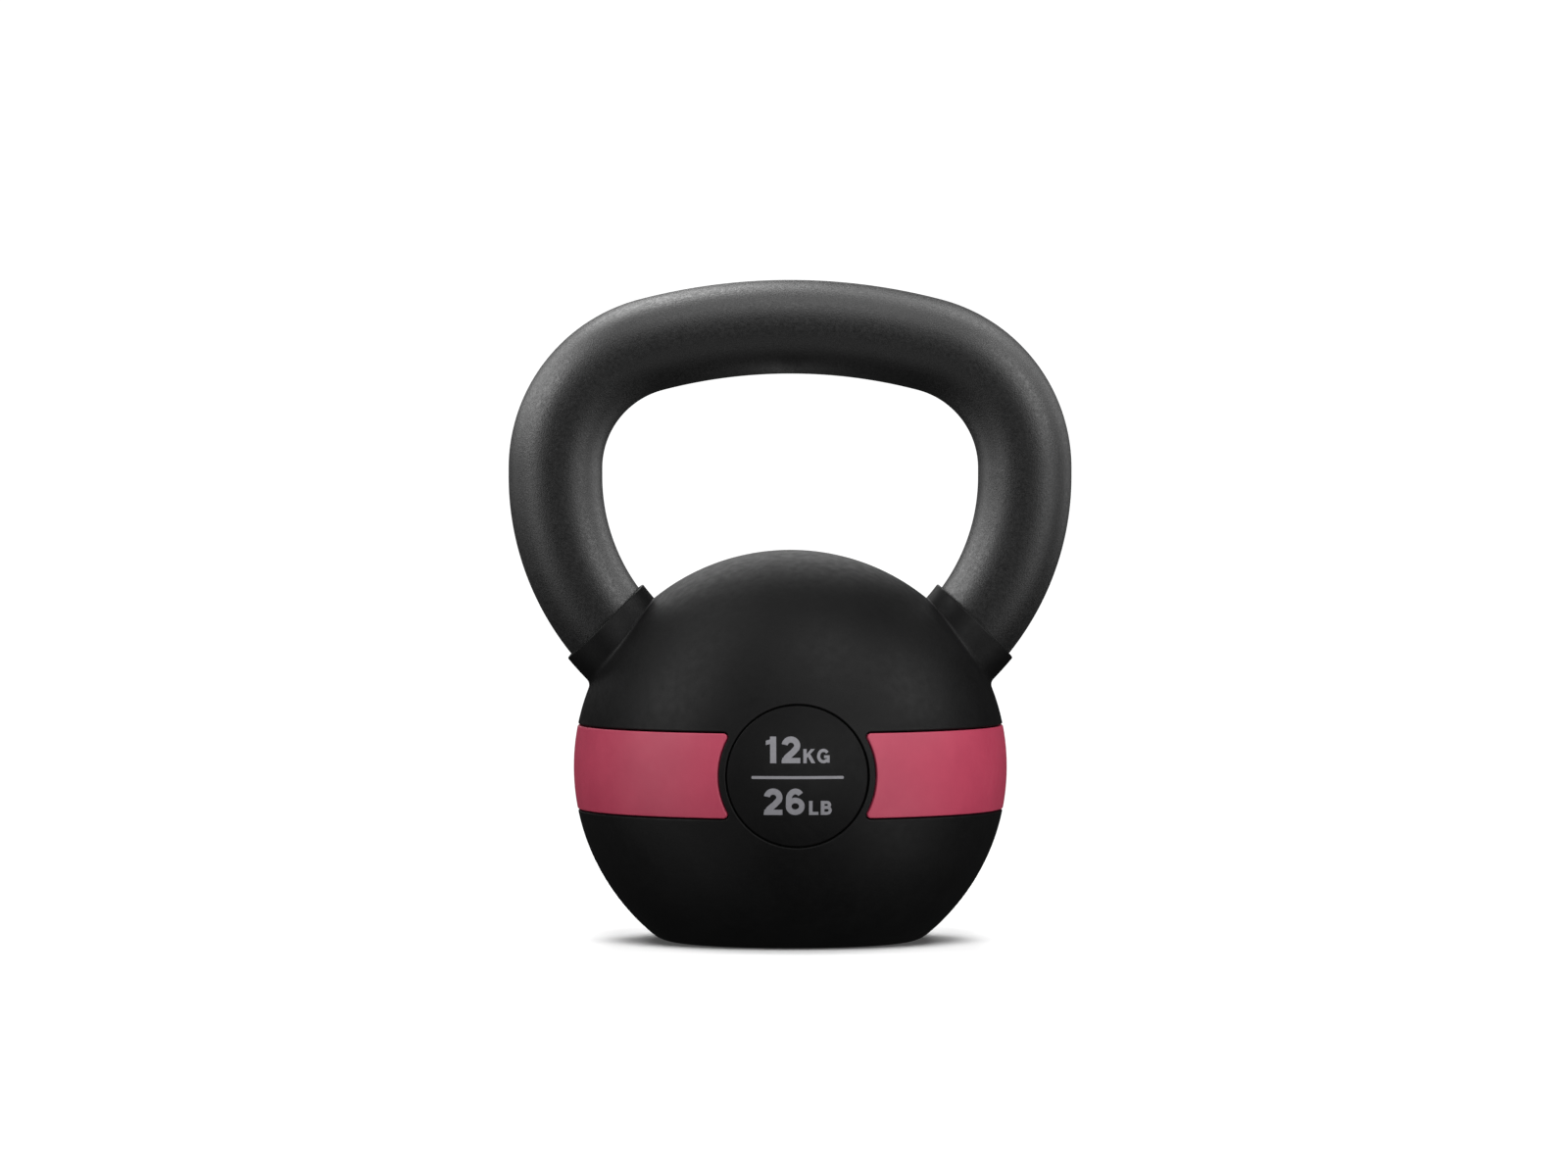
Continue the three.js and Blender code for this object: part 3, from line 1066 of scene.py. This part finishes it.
def make_floor():
    """A pale floor that fades into the white all round, and lets the base show from below.

    It glows faintly, so that the shadow under the ball is grey and not black.
    """
    bpy.ops.mesh.primitive_circle_add(
        vertices=FLOOR_SIDES, radius=FLOOR_RADIUS, fill_type="NGON", location=(0, 0, -FLOOR_DROP)
    )
    floor = bpy.context.object
    floor.name = "floor"
    material = bpy.data.materials.new("pale_floor")
    material.use_nodes = True
    nodes, links = material.node_tree.nodes, material.node_tree.links
    nodes.remove(nodes["Principled BSDF"])
    paint = nodes.new("ShaderNodeBsdfDiffuse")
    paint.inputs["Color"].default_value = (FLOOR_GREY, FLOOR_GREY, FLOOR_GREY, 1)
    glow = nodes.new("ShaderNodeEmission")
    glow.inputs["Color"].default_value = (1, 1, 1, 1)
    glow.inputs["Strength"].default_value = FLOOR_GLOW
    surface = nodes.new("ShaderNodeAddShader")
    links.new(paint.outputs["BSDF"], surface.inputs[0])
    links.new(glow.outputs["Emission"], surface.inputs[1])
    reach = nodes.new("ShaderNodeVectorMath")
    reach.operation = "LENGTH"
    links.new(nodes.new("ShaderNodeTexCoord").outputs["Object"], reach.inputs[0])
    fade = nodes.new("ShaderNodeMapRange")
    fade.interpolation_type = "SMOOTHSTEP"
    fade.inputs["From Min"].default_value = FLOOR_SOLID_RADIUS
    fade.inputs["From Max"].default_value = FLOOR_RADIUS
    links.new(reach.outputs["Value"], fade.inputs["Value"])
    unseen = nodes.new("ShaderNodeMath")
    unseen.operation = "MAXIMUM"
    links.new(fade.outputs["Result"], unseen.inputs[0])
    links.new(nodes.new("ShaderNodeNewGeometry").outputs["Backfacing"], unseen.inputs[1])
    mix = nodes.new("ShaderNodeMixShader")
    links.new(unseen.outputs["Value"], mix.inputs["Fac"])
    links.new(surface.outputs["Shader"], mix.inputs[1])
    links.new(nodes.new("ShaderNodeBsdfTransparent").outputs["BSDF"], mix.inputs[2])
    links.new(mix.outputs["Shader"], nodes["Material Output"].inputs["Surface"])
    floor.data.materials.append(material)
    floor.visible_diffuse = False
    floor.visible_glossy = False
    floor.visible_shadow = False
    return floor


def make_receivers(name, lit=(), unlit=()):
    """What a set of lights falls on: only the lit pieces, or everything but the unlit ones."""
    receivers = bpy.data.collections.new(name)
    for made in (*lit, *unlit):
        receivers.objects.link(made)
    for linked in list(receivers.collection_objects)[len(lit):]:
        linked.light_linking.link_state = "EXCLUDE"
    return receivers


def make_area_light(name, size, power, place, away, receivers):
    """A square light, unseen by the camera, that shines against the direction away."""
    data = bpy.data.lights.new(name, "AREA")
    data.size = size
    data.energy = power
    light = bpy.data.objects.new(name, data)
    light.location = place
    light.rotation_euler = away.to_track_quat("Z", "Y").to_euler()
    light.visible_camera = False
    light.light_linking.receiver_collection = receivers
    bpy.context.scene.collection.objects.link(light)


def make_softboxes(name, boxes, receivers):
    """Square lights on a sphere round the ball."""
    for azimuth, elevation, radiance in boxes:
        a, e = math.radians(azimuth), math.radians(elevation)
        away = Vector((math.sin(a) * math.cos(e), -math.cos(a) * math.cos(e), math.sin(e)))
        power = radiance * math.pi * SOFTBOX_SIZE**2
        place = SOFTBOX_AIM + away * SOFTBOX_DISTANCE
        make_area_light(name, SOFTBOX_SIZE, power, place, away, receivers)


WINDOW_LIGHT_SIZE = 0.04
WINDOW_LIGHT_PLACE = Vector((0, 0.015, 0.165))
WINDOW_LIGHT_OVERLAP = 0.0018  # how far each starts beyond the middle, against a dark line there
WINDOW_LIGHT_POWER = 0.005


def make_window_lights(receivers):
    """Two small lights back to back in the hand window, for the inner sides of the legs.

    They leave a pale patch under the middle of the grip, which shows from behind.
    """
    for side in (-1, 1):
        away = Vector((-side, 0, 0))
        place = WINDOW_LIGHT_PLACE + away * WINDOW_LIGHT_OVERLAP
        make_area_light("window_light", WINDOW_LIGHT_SIZE, WINDOW_LIGHT_POWER, place, away, receivers)


def make_world():
    """White where the camera sees past the floor, and a dim room for everything else."""
    world = bpy.data.worlds.new("studio")
    bpy.context.scene.world = world
    world.use_nodes = True
    nodes, links = world.node_tree.nodes, world.node_tree.links
    room = nodes["Background"]
    room.inputs["Color"].default_value = (1, 1, 1, 1)
    room.inputs["Strength"].default_value = ROOM_STRENGTH
    seen = nodes.new("ShaderNodeBackground")
    seen.inputs["Color"].default_value = (1, 1, 1, 1)
    seen.inputs["Strength"].default_value = BACKDROP_STRENGTH
    mix = nodes.new("ShaderNodeMixShader")
    links.new(nodes.new("ShaderNodeLightPath").outputs["Is Camera Ray"], mix.inputs["Fac"])
    links.new(room.outputs["Background"], mix.inputs[1])
    links.new(seen.outputs["Background"], mix.inputs[2])
    links.new(mix.outputs["Shader"], nodes["World Output"].inputs["Surface"])


CAMERA_DISTANCE = 2.93
CAMERA_AZIMUTH = math.radians(-1.92)
CAMERA_HEIGHT = 0.203
CAMERA_AIM = Vector((-0.00225, 0, 0.1254))
CAMERA_LENS = 189.3
CAMERA_NEAR, CAMERA_FAR = 0.05, 50


def make_camera():
    data = bpy.data.cameras.new("camera")
    data.lens = CAMERA_LENS
    data.clip_start, data.clip_end = CAMERA_NEAR, CAMERA_FAR
    camera = bpy.data.objects.new("camera", data)
    reach = Vector((math.sin(CAMERA_AZIMUTH), -math.cos(CAMERA_AZIMUTH), 0)) * CAMERA_DISTANCE
    camera.location = reach + Vector((0, 0, CAMERA_HEIGHT))
    camera.rotation_euler = (CAMERA_AIM - camera.location).to_track_quat("-Z", "Y").to_euler()
    bpy.context.scene.collection.objects.link(camera)
    bpy.context.scene.camera = camera


floor = make_floor()
make_softboxes("ball_softbox", BALL_SOFTBOXES, make_receivers("ball_softbox", unlit=[handle, floor]))
make_softboxes("handle_softbox", HANDLE_SOFTBOXES, make_receivers("handle_softbox", lit=[handle]))
make_softboxes("floor_softbox", FLOOR_SOFTBOXES, make_receivers("floor_softbox", lit=[floor]))
make_window_lights(make_receivers("window_light", lit=[handle]))
make_world()
make_camera()
bpy.context.scene.view_settings.view_transform = "Standard"
